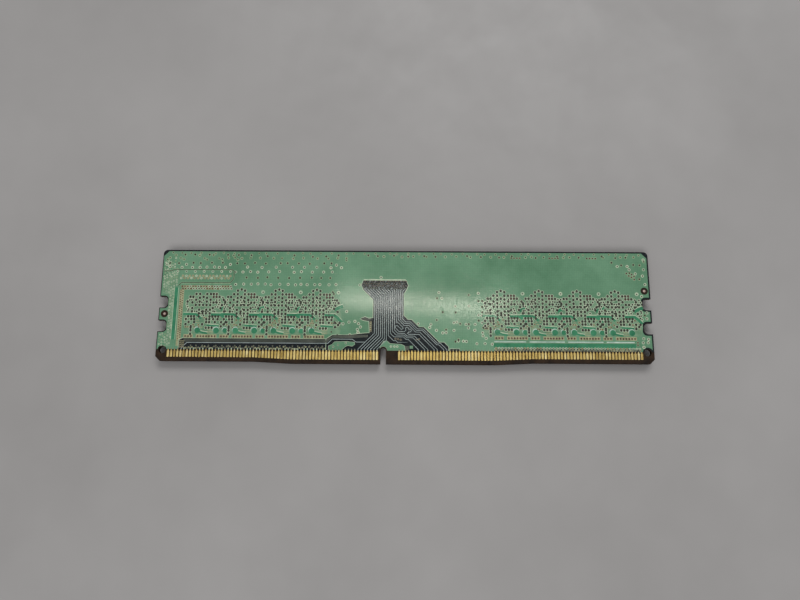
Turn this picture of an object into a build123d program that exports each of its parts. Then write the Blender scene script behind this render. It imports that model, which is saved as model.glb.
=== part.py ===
"""A 288-contact desktop memory module with eight memory packages on one face.

The module lies flat. Z = 0 is the plane that the memory packages' tops rest on, and
the bare back of the board faces +Z. X runs along the board and Y across it, with the
edge contacts at -Y. The origin is under the middle of the board's outline.
"""
from build123d import *
import os

os.makedirs("parts", exist_ok=True)

# ---- Board outline ----
BOARD_LENGTH = 133.35
BOARD_WIDTH = 31.25
TOP_CORNER_RADIUS = 1.2
BOTTOM_CORNER_CUT = 1.25
EDGE_STEP = 0.5  # the contact edge is this much higher at both ends than in the middle
EDGE_RAMP = 10.2
EDGE_MIDDLE_LEFT = -30.175
EDGE_MIDDLE_RIGHT = 24.225
EDGE_BEVEL = 0.2
STEEPEST_RAMP = 0.9  # an edge of the contact side has at least this much of its run along X
TOUCH = 0.01
KEY_X = -5.575
KEY_WIDTH = 1.5
KEY_HEIGHT = 4.45
LATCH_DEPTH = 2.25
LATCH_CORNER_RADIUS = 1.2
LATCH_SPANS = ((8.5, 11.5), (15.0, 18.1))  # heights above the contact edge
TOOLING_HOLE_RADIUS = 0.95
TOOLING_HOLE_X = 65.0
TOOLING_HOLE_HEIGHT = 3.5

# ---- Layer stack ----
COPPER = 0.035
CONTACT_PLATING = 0.005
MASK_OVER_COPPER = 0.015
PREPREG = 0.23
CORE = 0.84
PLANE_INSET = 0.8
POUR_INSET = 0.4
MASK_INSET = 0.05
MASK_EDGE_HEIGHT = 3.65  # below this the board is bare between the contacts
POUR_EDGE_HEIGHT = 4.2
KEY_MASK_CLEARANCE = 0.25
POUR_CORNER_CUT = 1.35

# ---- Edge contacts ----
CONTACT_PITCH = 0.85
CONTACT_WIDTH = 0.6
CONTACT_TOP_HEIGHT = 3.3
CONTACT_SETBACK = 1.15
SHORT_SIDE_FIRST_X, SHORT_SIDE_COUNT = -63.325, 67
LONG_SIDE_FIRST_X, LONG_SIDE_COUNT = -1.275, 77

# ---- Fiducial marks ----
FIDUCIAL_RADIUS = 0.5
FIDUCIAL_OPENING_RADIUS = 1.0
FIDUCIALS = ((-65.1, 13.3), (65.1, 20.3))

# ---- Memory packages ----
DRAM_X = [-54.75 + 10.3 * i for i in range(4)] + [26.2 + 10.3 * i for i in range(4)]
DRAM_HEIGHT = 14.8
DRAM_LENGTH = 11.0
DRAM_WIDTH = 7.5
MOULD = 0.68
MOULD_CORNER_RADIUS = 0.12
MOULD_EDGE_CUT = 0.06
SUBSTRATE = 0.18
DIE_LENGTH, DIE_WIDTH, DIE_THICKNESS = 9.2, 6.1, 0.25
BALL_GAP = 0.24
BALL_PITCH = 0.8
BALL_ROWS, BALL_COLUMNS = 13, 3
BALL_GROUP_X = 2.4  # each group of three columns sits this far from the package's middle
BALL_RADIUS = 0.2
BETWEEN_PACKAGES = 5.15  # from a package's middle to the middle of the gap beside it

# ---- Small components on the package face ----
SOLDER_FILM = 0.02
SOLDER_TOE = 0.16
ARRAY_TOE = 0.1
WINDOW_MARGIN = 0.7  # how much wider a mask window is than the piece soldered in it
WALL = 0.02  # how far a plated terminal stands proud of the ceramic
SMALL_CAP = (1.0, 0.5, 0.5)
BULK_CAP = (2.0, 1.25, 0.85)
END_CAP_SHARE = 0.25
ARRAY_LENGTH, ARRAY_WIDTH, ARRAY_THICKNESS = 2.0, 1.0, 0.42
ARRAY_RESISTORS = 4
ARRAY_PITCH = 0.5
ARRAY_TERMINAL = (0.3, 0.14)
EEPROM_SIZE = (3.0, 2.0, 0.75)
EEPROM_PLACE = (13.6, 13.4)
EEPROM_PITCH = 0.5
EEPROM_LEADS_PER_SIDE = 4
EEPROM_LEAD = (0.25, 0.35, 0.2)

# ---- Heights worked out from the stack ----
FRONT_COPPER_FACE = MOULD + SUBSTRATE + BALL_GAP
LAMINATE_BOTTOM = FRONT_COPPER_FACE + COPPER
CORE_BOTTOM = LAMINATE_BOTTOM + PREPREG
CORE_TOP = CORE_BOTTOM + CORE
LAMINATE_TOP = CORE_TOP + PREPREG
MASK = COPPER + MASK_OVER_COPPER
CONTACT = COPPER + CONTACT_PLATING
COMPONENT_SEAT = FRONT_COPPER_FACE - SOLDER_FILM


def row_y(height):
    """The Y of a point this far above the lowest part of the contact edge."""
    return height - BOARD_WIDTH / 2


def edge_height(x):
    """The height of the ramped contact edge at x."""
    outside = max(EDGE_MIDDLE_LEFT - x, x - EDGE_MIDDLE_RIGHT, 0)
    return EDGE_STEP * min(outside / EDGE_RAMP, 1)


def save(piece, name):
    piece.part.label = name
    export_step(piece.part, f"parts/{name}.step")


# ---- Sketches shared by the layers ----
def board_face(z, inset=0.0, bottom=None):
    """The board's outline at height z, drawn in by inset. bottom, if given, is the height of
    a straight lower edge; otherwise the ramped contact edge closes the outline."""
    half = BOARD_LENGTH / 2 - inset
    top = row_y(BOARD_WIDTH - inset)
    if bottom is None:
        ends = row_y(EDGE_STEP + inset)
        cut = BOTTOM_CORNER_CUT
        lower_edge = [
            (-half, ends + cut),
            (-half + cut, ends),
            (EDGE_MIDDLE_LEFT - EDGE_RAMP, ends),
            (EDGE_MIDDLE_LEFT, row_y(inset)),
            (EDGE_MIDDLE_RIGHT, row_y(inset)),
            (EDGE_MIDDLE_RIGHT + EDGE_RAMP, ends),
            (half - cut, ends),
            (half, ends + cut),
        ]
    else:
        lower_edge = [(-half, row_y(bottom)), (half, row_y(bottom))]
    with BuildSketch(Plane.XY.offset(z)) as face:
        with BuildLine():
            Polyline(*lower_edge, (half, top), (-half, top), close=True)
        make_face()
        fillet(face.vertices().group_by(Axis.Y)[-1], TOP_CORNER_RADIUS)
        for low, high in LATCH_SPANS:
            for side in (-1, 1):
                with Locations((side * BOARD_LENGTH / 2, row_y((low + high) / 2))):
                    RectangleRounded(
                        2 * (LATCH_DEPTH + inset),
                        high - low + 2 * inset,
                        LATCH_CORNER_RADIUS + inset,
                        mode=Mode.SUBTRACT,
                    )
        with Locations((KEY_X, row_y(0))):
            SlotOverall(
                2 * (KEY_HEIGHT + inset), KEY_WIDTH + 2 * inset, rotation=90, mode=Mode.SUBTRACT
            )
        tooling_holes = [(side * TOOLING_HOLE_X, row_y(TOOLING_HOLE_HEIGHT)) for side in (-1, 1)]
        with Locations(*tooling_holes):
            Circle(TOOLING_HOLE_RADIUS + inset, mode=Mode.SUBTRACT)
    return face.sketch


def fiducial_discs(z, radius):
    with BuildSketch(Plane.XY.offset(z)) as discs:
        with Locations(*((x, row_y(height)) for x, height in FIDUCIALS)):
            Circle(radius)
    return discs.sketch


def pour_face(z):
    """The copper pour: drawn in from the board's edge, with its two top corners cut straight."""
    corner_x = BOARD_LENGTH / 2 - POUR_INSET
    corner_y = row_y(BOARD_WIDTH - POUR_INSET)
    cutter = POUR_CORNER_CUT * 2**0.5  # side of a square turned 45 degrees about the corner
    with BuildSketch(Plane.XY.offset(z)) as pour:
        add(board_face(z, POUR_INSET, POUR_EDGE_HEIGHT))
        with Locations((-corner_x, corner_y), (corner_x, corner_y)):
            Rectangle(cutter, cutter, rotation=45, mode=Mode.SUBTRACT)
    return pour.sketch


# ---- Layout of the small components: middles as (x, height above the contact edge) ----
def along_x(chip_offsets, height):
    """The same places beside every memory package."""
    return [(x + offset, height) for x in DRAM_X for offset in chip_offsets]


ABOVE_PACKAGES, BELOW_PACKAGES = 21.9, 8.3
SERIES_HEIGHT, TERMINATION_HEIGHT = 6.2, 24.4
REFERENCE_HEIGHT, BULK_HEIGHT = 26.9, 28.3
SMALL_CAPS_ALONG_X = along_x((-1.9, 2.3), ABOVE_PACKAGES) + along_x((-3.2,), BELOW_PACKAGES)
SMALL_CAPS_ALONG_X += [(-56.2 + 2.6 * i, REFERENCE_HEIGHT) for i in range(4)]
SMALL_CAPS_ALONG_X += [(EEPROM_PLACE[0], EEPROM_PLACE[1] + EEPROM_SIZE[1] / 2 + 1.2)]
SMALL_CAPS_ALONG_Y = along_x((BETWEEN_PACKAGES,), 12.4) + along_x((BETWEEN_PACKAGES,), 17.2)
BULK_CAPS_ALONG_X = [(x, BULK_HEIGHT) for x in (-39.0, -20.0, 0.0, 20.0, 39.0, 57.0)]
SERIES_ARRAYS = along_x((-1.1, 2.0, 4.9), SERIES_HEIGHT)
TERMINATION_ARRAYS = [(-60.4 + 2.4 * i, TERMINATION_HEIGHT) for i in range(6)]


def rectangles(z, spots, size_x, size_y):
    """Equal rectangles at height z, one at each spot."""
    with BuildSketch(Plane.XY.offset(z)) as face:
        with Locations(*((x, row_y(height)) for x, height in spots)):
            Rectangle(size_x, size_y)
    return face.sketch


def ends_along_x(spots, reach):
    return [(x + side * reach, height) for x, height in spots for side in (-1, 1)]


def ends_along_y(spots, reach):
    return [(x, height + side * reach) for x, height in spots for side in (-1, 1)]


def array_ends(spots, reach):
    """The four terminal places on each long side of every resistor array."""
    return [
        (x + (index - (ARRAY_RESISTORS - 1) / 2) * ARRAY_PITCH, height + side * reach)
        for x, height in spots
        for index in range(ARRAY_RESISTORS)
        for side in (-1, 1)
    ]


# ---- Laminate and inner planes ----
with BuildPart() as ground_plane:
    extrude(board_face(CORE_TOP, PLANE_INSET), amount=COPPER)
save(ground_plane, "inner_ground_plane")

with BuildPart() as power_plane:
    extrude(board_face(CORE_BOTTOM - COPPER, PLANE_INSET), amount=COPPER)
save(power_plane, "inner_power_plane")

with BuildPart() as board_core:
    extrude(board_face(CORE_BOTTOM), amount=CORE)
save(board_core, "board_core")


def bevelled_prepreg(bottom, plane_sheet, outer_z):
    """An outer laminate sheet with the inner plane bedded in it and its contact edge bevelled
    where it meets the board's outer face at outer_z."""
    with BuildPart() as sheet:
        extrude(board_face(bottom), amount=PREPREG)
        contact_edges = [
            edge
            for edge in sheet.edges().filter_by(GeomType.LINE)
            if abs(edge.center().Z - outer_z) < TOUCH
            and edge.center().Y < row_y(EDGE_STEP + TOUCH)
            and abs(edge.tangent_at(0.5).X) > STEEPEST_RAMP
        ]
        chamfer(contact_edges, EDGE_BEVEL)
        add(plane_sheet, mode=Mode.SUBTRACT)
    return sheet


save(bevelled_prepreg(CORE_TOP, ground_plane.part, LAMINATE_TOP), "back_prepreg")
save(bevelled_prepreg(LAMINATE_BOTTOM, power_plane.part, LAMINATE_BOTTOM), "front_prepreg")


# ---- Outer copper and solder mask ----
def outer_copper(z):
    with BuildPart() as sheet:
        extrude(pour_face(z), amount=COPPER)
        extrude(fiducial_discs(z, FIDUCIAL_OPENING_RADIUS), amount=COPPER, mode=Mode.SUBTRACT)
    return sheet


def mask_face(z):
    """The mask's outline, clear of the contacts, the key slot and the fiducial marks."""
    with BuildSketch(Plane.XY.offset(z)) as face:
        add(board_face(z, MASK_INSET, MASK_EDGE_HEIGHT))
        with Locations((KEY_X, row_y(0))):
            SlotOverall(
                2 * (KEY_HEIGHT + KEY_MASK_CLEARANCE),
                KEY_WIDTH + 2 * KEY_MASK_CLEARANCE,
                rotation=90,
                mode=Mode.SUBTRACT,
            )
        add(fiducial_discs(z, FIDUCIAL_OPENING_RADIUS), mode=Mode.SUBTRACT)
    return face.sketch


back_copper = outer_copper(LAMINATE_TOP)
save(back_copper, "back_copper_pour")
front_copper = outer_copper(FRONT_COPPER_FACE)
save(front_copper, "front_copper_pour")

with BuildPart() as back_mask:
    extrude(mask_face(LAMINATE_TOP), amount=MASK)
    add(back_copper.part, mode=Mode.SUBTRACT)
save(back_mask, "back_solder_mask")

FRONT_MASK_FACE = LAMINATE_BOTTOM - MASK
CAP_WINDOW = SMALL_CAP[0] + WINDOW_MARGIN, SMALL_CAP[1] + WINDOW_MARGIN
BULK_WINDOW = BULK_CAP[0] + WINDOW_MARGIN, BULK_CAP[1] + WINDOW_MARGIN
ARRAY_WINDOW = ARRAY_LENGTH + WINDOW_MARGIN, ARRAY_WIDTH + WINDOW_MARGIN
BALL_WINDOW = (
    (BALL_COLUMNS - 1) * BALL_PITCH + WINDOW_MARGIN,
    (BALL_ROWS - 1) * BALL_PITCH + WINDOW_MARGIN,
)
with BuildPart() as front_mask:
    extrude(mask_face(FRONT_MASK_FACE), amount=MASK)
    ball_groups = ends_along_x(along_x((0,), DRAM_HEIGHT), BALL_GROUP_X)
    for spots, window in (
        (SMALL_CAPS_ALONG_X, CAP_WINDOW),
        (SMALL_CAPS_ALONG_Y, CAP_WINDOW[::-1]),
        (BULK_CAPS_ALONG_X, BULK_WINDOW),
        (SERIES_ARRAYS + TERMINATION_ARRAYS, ARRAY_WINDOW),
        ([EEPROM_PLACE], (EEPROM_SIZE[0] + WINDOW_MARGIN, EEPROM_SIZE[1] + WINDOW_MARGIN)),
        (ball_groups, BALL_WINDOW),
    ):
        extrude(rectangles(FRONT_MASK_FACE, spots, *window), amount=MASK, mode=Mode.SUBTRACT)
    add(front_copper.part, mode=Mode.SUBTRACT)
save(front_mask, "front_solder_mask")

for face_name, z in (("back", LAMINATE_TOP), ("front", FRONT_COPPER_FACE)):
    with BuildPart() as marks:
        extrude(fiducial_discs(z, FIDUCIAL_RADIUS), amount=COPPER)
    save(marks, f"{face_name}_fiducial_marks")


# ---- Edge contacts ----
def contact_row(first_x, count, bottom):
    """One row of gold contacts with rounded ends, following the ramped edge."""
    with BuildPart() as row:
        for index in range(count):
            x = first_x + index * CONTACT_PITCH
            low = edge_height(x) + CONTACT_SETBACK
            with BuildSketch(Plane.XY.offset(bottom)):
                with Locations((x, row_y((low + CONTACT_TOP_HEIGHT) / 2))):
                    SlotOverall(CONTACT_TOP_HEIGHT - low, CONTACT_WIDTH, rotation=90)
        extrude(amount=CONTACT)
    return row


CONTACT_SIDES = {
    "short_side": (SHORT_SIDE_FIRST_X, SHORT_SIDE_COUNT),
    "long_side": (LONG_SIDE_FIRST_X, LONG_SIDE_COUNT),
}
for side_name, (first_x, count) in CONTACT_SIDES.items():
    save(contact_row(first_x, count, LAMINATE_TOP), f"back_contacts_{side_name}")
    save(contact_row(first_x, count, LAMINATE_BOTTOM - CONTACT), f"front_contacts_{side_name}")


# ---- Memory packages ----
with BuildPart() as dies:
    extrude(
        rectangles(MOULD - DIE_THICKNESS, along_x((0,), DRAM_HEIGHT), DIE_WIDTH, DIE_LENGTH),
        amount=DIE_THICKNESS,
    )
save(dies, "dram_dies")


def package_face(z, chip_x, length, width, radius):
    with BuildSketch(Plane.XY.offset(z)) as face:
        with Locations((chip_x, row_y(DRAM_HEIGHT))):
            RectangleRounded(width, length, radius)
    return face.sketch


def dram_package(number, chip_x):
    """The mould, the substrate and the solder balls of one memory package."""
    with BuildPart() as mould:
        extrude(package_face(0, chip_x, DRAM_LENGTH, DRAM_WIDTH, MOULD_CORNER_RADIUS), amount=MOULD)
        chamfer(mould.faces().sort_by(Axis.Z)[0].edges(), MOULD_EDGE_CUT)
        add(dies.part, mode=Mode.SUBTRACT)
    save(mould, f"dram_{number}_mould")

    with BuildPart() as substrate:
        extrude(
            package_face(MOULD, chip_x, DRAM_LENGTH, DRAM_WIDTH, MOULD_CORNER_RADIUS),
            amount=SUBSTRATE,
        )
    save(substrate, f"dram_{number}_substrate")

    with BuildPart() as balls:
        with BuildSketch(Plane.XY.offset(MOULD + SUBSTRATE)):
            with Locations(*((chip_x + side * BALL_GROUP_X, row_y(DRAM_HEIGHT)) for side in (-1, 1))):
                with GridLocations(BALL_PITCH, BALL_PITCH, BALL_COLUMNS, BALL_ROWS):
                    Circle(BALL_RADIUS)
        extrude(amount=BALL_GAP)
    save(balls, f"dram_{number}_solder_balls")


for number, chip_x in enumerate(DRAM_X, start=1):
    dram_package(number, chip_x)


# ---- Capacitors ----
def capacitors(name, size, spots_along_x, spots_along_y):
    """Ceramic blocks with a plated terminal at each end, and the solder under the terminals."""
    length, width, height = size
    terminal = length * END_CAP_SHARE
    reach = (length - terminal) / 2
    block = length - 2 * terminal, width - 2 * WALL
    pad = terminal + SOLDER_TOE, width
    pad_reach = reach + SOLDER_TOE / 2
    with BuildPart() as bodies:
        extrude(
            rectangles(COMPONENT_SEAT - height + WALL, spots_along_x, *block),
            amount=height - 2 * WALL,
        )
        if spots_along_y:
            extrude(
                rectangles(COMPONENT_SEAT - height + WALL, spots_along_y, *block[::-1]),
                amount=height - 2 * WALL,
            )
    save(bodies, f"{name}_capacitor_bodies")

    with BuildPart() as terminals:
        low = COMPONENT_SEAT - height
        extrude(rectangles(low, ends_along_x(spots_along_x, reach), terminal, width), amount=height)
        if spots_along_y:
            extrude(rectangles(low, ends_along_y(spots_along_y, reach), width, terminal), amount=height)
    save(terminals, f"{name}_capacitor_terminals")

    with BuildPart() as solder:
        low = COMPONENT_SEAT
        extrude(rectangles(low, ends_along_x(spots_along_x, pad_reach), *pad), amount=SOLDER_FILM)
        if spots_along_y:
            extrude(
                rectangles(low, ends_along_y(spots_along_y, pad_reach), *pad[::-1]), amount=SOLDER_FILM
            )
    save(solder, f"{name}_capacitor_solder")


capacitors("decoupling", SMALL_CAP, SMALL_CAPS_ALONG_X, SMALL_CAPS_ALONG_Y)
capacitors("bulk", BULK_CAP, BULK_CAPS_ALONG_X, [])


# ---- Resistor arrays ----
def resistor_arrays(name, spots):
    """Four-resistor slabs with four terminals standing out of each long side."""
    terminal_width, terminal_depth = ARRAY_TERMINAL
    low = COMPONENT_SEAT - ARRAY_THICKNESS
    reach = (ARRAY_WIDTH - terminal_depth) / 2
    with BuildPart() as bodies:
        extrude(
            rectangles(low, spots, ARRAY_LENGTH, ARRAY_WIDTH - 2 * terminal_depth),
            amount=ARRAY_THICKNESS,
        )
    save(bodies, f"{name}_resistor_bodies")

    with BuildPart() as terminals:
        extrude(
            rectangles(low, array_ends(spots, reach), terminal_width, terminal_depth),
            amount=ARRAY_THICKNESS,
        )
    save(terminals, f"{name}_resistor_terminals")

    with BuildPart() as solder:
        pad_depth = terminal_depth + ARRAY_TOE
        extrude(
            rectangles(COMPONENT_SEAT, array_ends(spots, reach + ARRAY_TOE / 2), terminal_width, pad_depth),
            amount=SOLDER_FILM,
        )
    save(solder, f"{name}_resistor_solder")


resistor_arrays("series", SERIES_ARRAYS)
resistor_arrays("termination", TERMINATION_ARRAYS)

# ---- Configuration memory ----
lead_width, lead_length, lead_thickness = EEPROM_LEAD
eeprom_x, eeprom_height = EEPROM_PLACE
with BuildPart() as eeprom_leads:
    with BuildSketch(Plane.XY.offset(COMPONENT_SEAT - lead_thickness)):
        with Locations((eeprom_x, row_y(eeprom_height))):
            rows_apart = EEPROM_SIZE[1] - lead_length
            with GridLocations(EEPROM_PITCH, rows_apart, EEPROM_LEADS_PER_SIDE, 2):
                Rectangle(lead_width, lead_length)
    extrude(amount=lead_thickness + SOLDER_FILM)
save(eeprom_leads, "eeprom_leads")

with BuildPart() as eeprom_body:
    extrude(
        rectangles(COMPONENT_SEAT - EEPROM_SIZE[2], [EEPROM_PLACE], EEPROM_SIZE[0], EEPROM_SIZE[1]),
        amount=EEPROM_SIZE[2],
    )
    add(eeprom_leads.part, mode=Mode.SUBTRACT)
save(eeprom_body, "eeprom_body")
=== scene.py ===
"""The memory module seen from its bare back: CAD frame, relief of copper under the mask, and studio."""
import math
import random

import bmesh
import bpy
from mathutils import Matrix, Vector
from mathutils.geometry import delaunay_2d_cdt


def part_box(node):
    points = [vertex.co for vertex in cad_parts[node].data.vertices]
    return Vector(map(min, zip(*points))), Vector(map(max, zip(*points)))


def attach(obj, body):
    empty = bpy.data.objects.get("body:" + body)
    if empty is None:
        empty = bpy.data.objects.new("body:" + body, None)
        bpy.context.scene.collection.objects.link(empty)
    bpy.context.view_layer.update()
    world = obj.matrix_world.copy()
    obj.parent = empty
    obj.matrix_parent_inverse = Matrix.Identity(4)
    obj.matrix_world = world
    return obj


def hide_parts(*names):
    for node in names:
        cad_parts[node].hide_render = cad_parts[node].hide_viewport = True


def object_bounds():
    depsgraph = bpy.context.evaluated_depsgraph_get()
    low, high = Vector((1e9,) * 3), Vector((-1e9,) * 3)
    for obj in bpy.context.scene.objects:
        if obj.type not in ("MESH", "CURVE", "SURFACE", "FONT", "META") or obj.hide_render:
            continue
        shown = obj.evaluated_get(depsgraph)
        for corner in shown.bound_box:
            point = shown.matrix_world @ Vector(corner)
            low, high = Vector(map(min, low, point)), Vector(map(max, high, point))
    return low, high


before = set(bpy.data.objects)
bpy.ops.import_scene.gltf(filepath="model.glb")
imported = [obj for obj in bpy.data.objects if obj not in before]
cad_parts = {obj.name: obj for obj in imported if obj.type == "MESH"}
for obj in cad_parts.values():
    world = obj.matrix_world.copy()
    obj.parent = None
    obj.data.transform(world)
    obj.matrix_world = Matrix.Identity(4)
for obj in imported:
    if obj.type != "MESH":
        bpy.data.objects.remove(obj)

CAD_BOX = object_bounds()
MM = 0.001
RANDOM = random.Random(288)

# ---- Where the board is, from the frame ----
BOARD_LOW, BOARD_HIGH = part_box("board_core")
LAMINATE_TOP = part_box("back_prepreg")[1].z
LAMINATE_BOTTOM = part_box("front_prepreg")[0].z
MASK_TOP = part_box("back_solder_mask")[1].z
EDGE_Y = BOARD_LOW.y
HALF_LENGTH = BOARD_HIGH.x / MM
BOARD_WIDTH = (BOARD_HIGH.y - BOARD_LOW.y) / MM


# ---- Materials ----
WAVE_PERIOD = math.pi / 10      # a wave texture of scale 1 repeats over this length
CLOTH_PITCH, CLOTH_WANDER = 0.00049, 1.2
NOISE_LOW, NOISE_HIGH = 0.35, 0.65      # nearly all of a noise lies between these values


class Nodes:
    """A small helper that builds one procedural Principled material."""

    def __init__(self, name):
        self.material = bpy.data.materials.new(name)
        self.material.use_nodes = True
        self.tree = self.material.node_tree
        self.shader = self.tree.nodes["Principled BSDF"]
        self.place = self.node("ShaderNodeTexCoord").outputs["Object"]

    def node(self, kind, **settings):
        made = self.tree.nodes.new(kind)
        for key, value in settings.items():
            setattr(made, key, value)
        return made

    def link(self, out, into):
        self.tree.links.new(out, into)

    def fill(self, node, **values):
        """Sets a node's inputs, written with _ for a space in their names."""
        for key, value in values.items():
            node.inputs[key.replace("_", " ")].default_value = value

    def set(self, **values):
        self.fill(self.shader, **values)

    def noise(self, scale, detail=4.0, roughness=0.6, stretch=(1, 1, 1)):
        """Noise whose grain is about 1 / scale metres, stretched along an axis by a small factor."""
        mapping = self.node("ShaderNodeMapping")
        self.fill(mapping, Scale=stretch)
        self.link(self.place, mapping.inputs["Vector"])
        noise = self.node("ShaderNodeTexNoise")
        self.fill(noise, Scale=scale, Detail=detail, Roughness=roughness)
        self.link(mapping.outputs["Vector"], noise.inputs["Vector"])
        return noise.outputs["Fac"]

    def ramp(self, factor, *stops):
        """Colours along a 0 to 1 factor; each stop is (position, (r, g, b))."""
        ramp = self.node("ShaderNodeValToRGB")
        elements = ramp.color_ramp.elements
        while len(elements) < len(stops):
            elements.new(0.5)
        for element, (position, colour) in zip(elements, stops):
            element.position = position
            element.color = (*colour, 1)
        self.link(factor, ramp.inputs["Fac"])
        return ramp.outputs["Color"]

    def between(self, factor, low, high):
        """A noise spread over low to high."""
        spread = self.node("ShaderNodeMapRange")
        self.fill(spread, From_Min=NOISE_LOW, From_Max=NOISE_HIGH, To_Min=low, To_Max=high)
        self.link(factor, spread.inputs["Value"])
        return spread.outputs["Result"]

    def mix(self, factor, one, two, blend="MIX"):
        mixer = self.node("ShaderNodeMix", data_type="RGBA", blend_type=blend)
        self.fill(mixer, Factor=factor)
        self.link(one, mixer.inputs["A"])
        self.link(two, mixer.inputs["B"])
        return mixer.outputs["Result"]

    def shaded(self, colour, factor, dark, low=0.3, high=0.7):
        """The colour, multiplied by dark where the factor is below low and left alone above high."""
        return self.mix(1.0, colour, self.ramp(factor, (low, dark), (high, grey(1))), "MULTIPLY")

    def cloth(self):
        """The crossed bands of the woven glass cloth."""
        bands = []
        for direction in ("X", "Y"):
            wave = self.node("ShaderNodeTexWave", wave_type="BANDS", bands_direction=direction)
            self.fill(wave, Scale=WAVE_PERIOD / CLOTH_PITCH, Distortion=CLOTH_WANDER)
            self.link(self.place, wave.inputs["Vector"])
            bands.append(wave.outputs["Color"])
        return self.mix(0.5, *bands)

    def colour(self, out):
        self.link(out, self.shader.inputs["Base Color"])

    def roughness(self, out):
        self.link(out, self.shader.inputs["Roughness"])

    def bump(self, height, distance, strength=1.0):
        bump = self.node("ShaderNodeBump")
        self.fill(bump, Distance=distance, Strength=strength)
        self.link(height, bump.inputs["Height"])
        self.link(bump.outputs["Normal"], self.shader.inputs["Normal"])


def grey(value):
    return value, value, value


def srgb(red, green, blue):
    """A colour given as 0 to 255 screen values, as the shader's linear values."""
    def linear(value):
        share = value / 255
        return share / 12.92 if share <= 0.04045 else ((share + 0.055) / 1.055) ** 2.4
    return linear(red), linear(green), linear(blue)


def mask_material(name, dark, light, roughness=(0.15, 0.24), cloud=90, weave=0.04, tint=(1, 1, 1)):
    """Glossy solder mask: slow clouds of tone, the cloth's faint print, fine grain and an uneven skin."""
    kit = Nodes(name)
    tone = kit.ramp(kit.noise(cloud, 5), (0.32, srgb(*dark)), (0.68, srgb(*light)))
    tone = kit.shaded(tone, kit.noise(2600, 3), grey(0.9))
    kit.colour(kit.shaded(tone, kit.cloth(), grey(1 - weave), 0.2, 0.8))
    kit.roughness(kit.between(kit.noise(2200, 3), *roughness))
    kit.bump(kit.mix(0.12, kit.noise(2600, 2, 0.5), kit.cloth()), 0.000006)
    kit.set(IOR=1.5, Specular_Tint=(*tint, 1))
    return kit.material


def gold_material():
    """Gold plating with lengthways wiping marks and duller, browner patches."""
    kit = Nodes("gold_plating")
    streaks = kit.noise(1500, 5, 0.7, (1, 0.12, 1))
    tones = (srgb(182, 150, 80), srgb(232, 202, 120), srgb(252, 238, 180))
    base = kit.ramp(streaks, *zip((0.3, 0.5, 0.7), tones))
    kit.colour(kit.shaded(base, kit.noise(420, 4), (0.80, 0.76, 0.68), 0.35, 0.6))
    kit.set(Metallic=0.7)
    kit.roughness(kit.between(streaks, 0.26, 0.44))
    kit.bump(streaks, 0.000008, 0.6)
    return kit.material


def laminate_material():
    """Bare glass-epoxy: dark resin with a faint woven cloth showing through."""
    kit = Nodes("bare_laminate")
    tone = kit.ramp(kit.noise(500, 5), (0.3, srgb(24, 14, 6)), (0.7, srgb(54, 37, 20)))
    kit.colour(kit.shaded(tone, kit.cloth(), grey(0.78), 0.2, 0.8))
    kit.roughness(kit.between(kit.noise(900, 4), 0.55, 0.75))
    kit.bump(kit.noise(2400, 4), 0.00002, 0.5)
    kit.set(Specular_IOR_Level=0.2)
    return kit.material


def metal_material(name, dark, light, roughness, scale=1200, metallic=0.9):
    """Plain metal with a granular, slightly frosted surface."""
    kit = Nodes(name)
    grain = kit.noise(scale, 5, 0.65)
    kit.colour(kit.ramp(grain, (0.3, srgb(*dark)), (0.7, srgb(*light))))
    kit.set(Metallic=metallic)
    kit.roughness(kit.between(grain, *roughness))
    kit.bump(kit.noise(scale * 2, 4), 0.00001, 0.6)
    return kit.material


def moulded_material(name, dark, light, roughness, scale=3000, depth=0.00002):
    """Moulded or fired body: fine sparkle of filler over a slow change of tone."""
    kit = Nodes(name)
    filler = kit.ramp(kit.noise(scale, 5, 0.7), (0.35, srgb(*dark)), (0.65, srgb(*light)))
    kit.colour(kit.shaded(filler, kit.noise(160, 3), grey(0.85)))
    kit.roughness(kit.between(kit.noise(scale / 2, 4), *roughness))
    kit.bump(kit.noise(scale, 5), depth, 0.7)
    return kit.material


# The regions of a layout: the height of the mask's surface above the laminate, in mm, and its look.
REGIONS = {
    "bare": (
        0.018, "mask_over_laminate", (10, 15, 16), (24, 31, 32), (0.06, 0.14), 400, 0.2, (0.86, 0.92, 1),
    ),
    "pour": (0.050, "mask_over_copper", (84, 128, 96), (114, 156, 124), (0.045, 0.14), 60, 0.10),
    "thick": (0.052, "mask_over_heavy_copper", (40, 110, 76), (68, 140, 102), (0.08, 0.13), 300),
    "band": (0.047, "mask_over_thin_copper", (58, 64, 56), (84, 88, 78), (0.12, 0.2), 300),
    "track": (0.049, "mask_over_track", (132, 146, 142), (172, 182, 178), (0.10, 0.16), 500),
    "web": (0.051, "mask_over_web", (90, 128, 98), (126, 158, 126), (0.08, 0.13), 500),
    "land": (0.055, "mask_over_via_land", (116, 148, 112), (156, 178, 142), (0.14, 0.24), 700),
    # The rim's pale colour is partly the thin mask over copper edges and partly a painted highlight of their
    # sloped shoulders.
    "rim": (0.058, "mask_over_land_rim", (146, 170, 142), (196, 208, 178), (0.12, 0.2), 700),
    # A painted highlight: pale strips along the upper sides of raised copper.
    "painted_highlight": (0.056, "mask_over_band_lip", (150, 178, 162), (196, 212, 198), (0.12, 0.2), 700),
    "pad": (0.053, "mask_over_pad_row", (130, 134, 100), (176, 174, 136), (0.2, 0.3), 900),
    "stub": (0.048, "mask_over_contact_tail", (88, 90, 74), (130, 130, 108), (0.2, 0.3), 900),
    "clearance": (0.020, "mask_over_clearance", (36, 48, 38), (60, 74, 58), (0.16, 0.26), 900),
    "plug": (0.034, "filled_via", (38, 36, 30), (68, 62, 50), (0.2, 0.34), 900),
    "brown_plug": (0.034, "filled_via_brown", (64, 42, 35), (98, 70, 60), (0.2, 0.34), 900),
}
LEVELS = {region: height for region, (height, *_) in REGIONS.items()}
MASK = {region: mask_material(*look) for region, (_, *look) in REGIONS.items()}
GOLD = gold_material()
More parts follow.
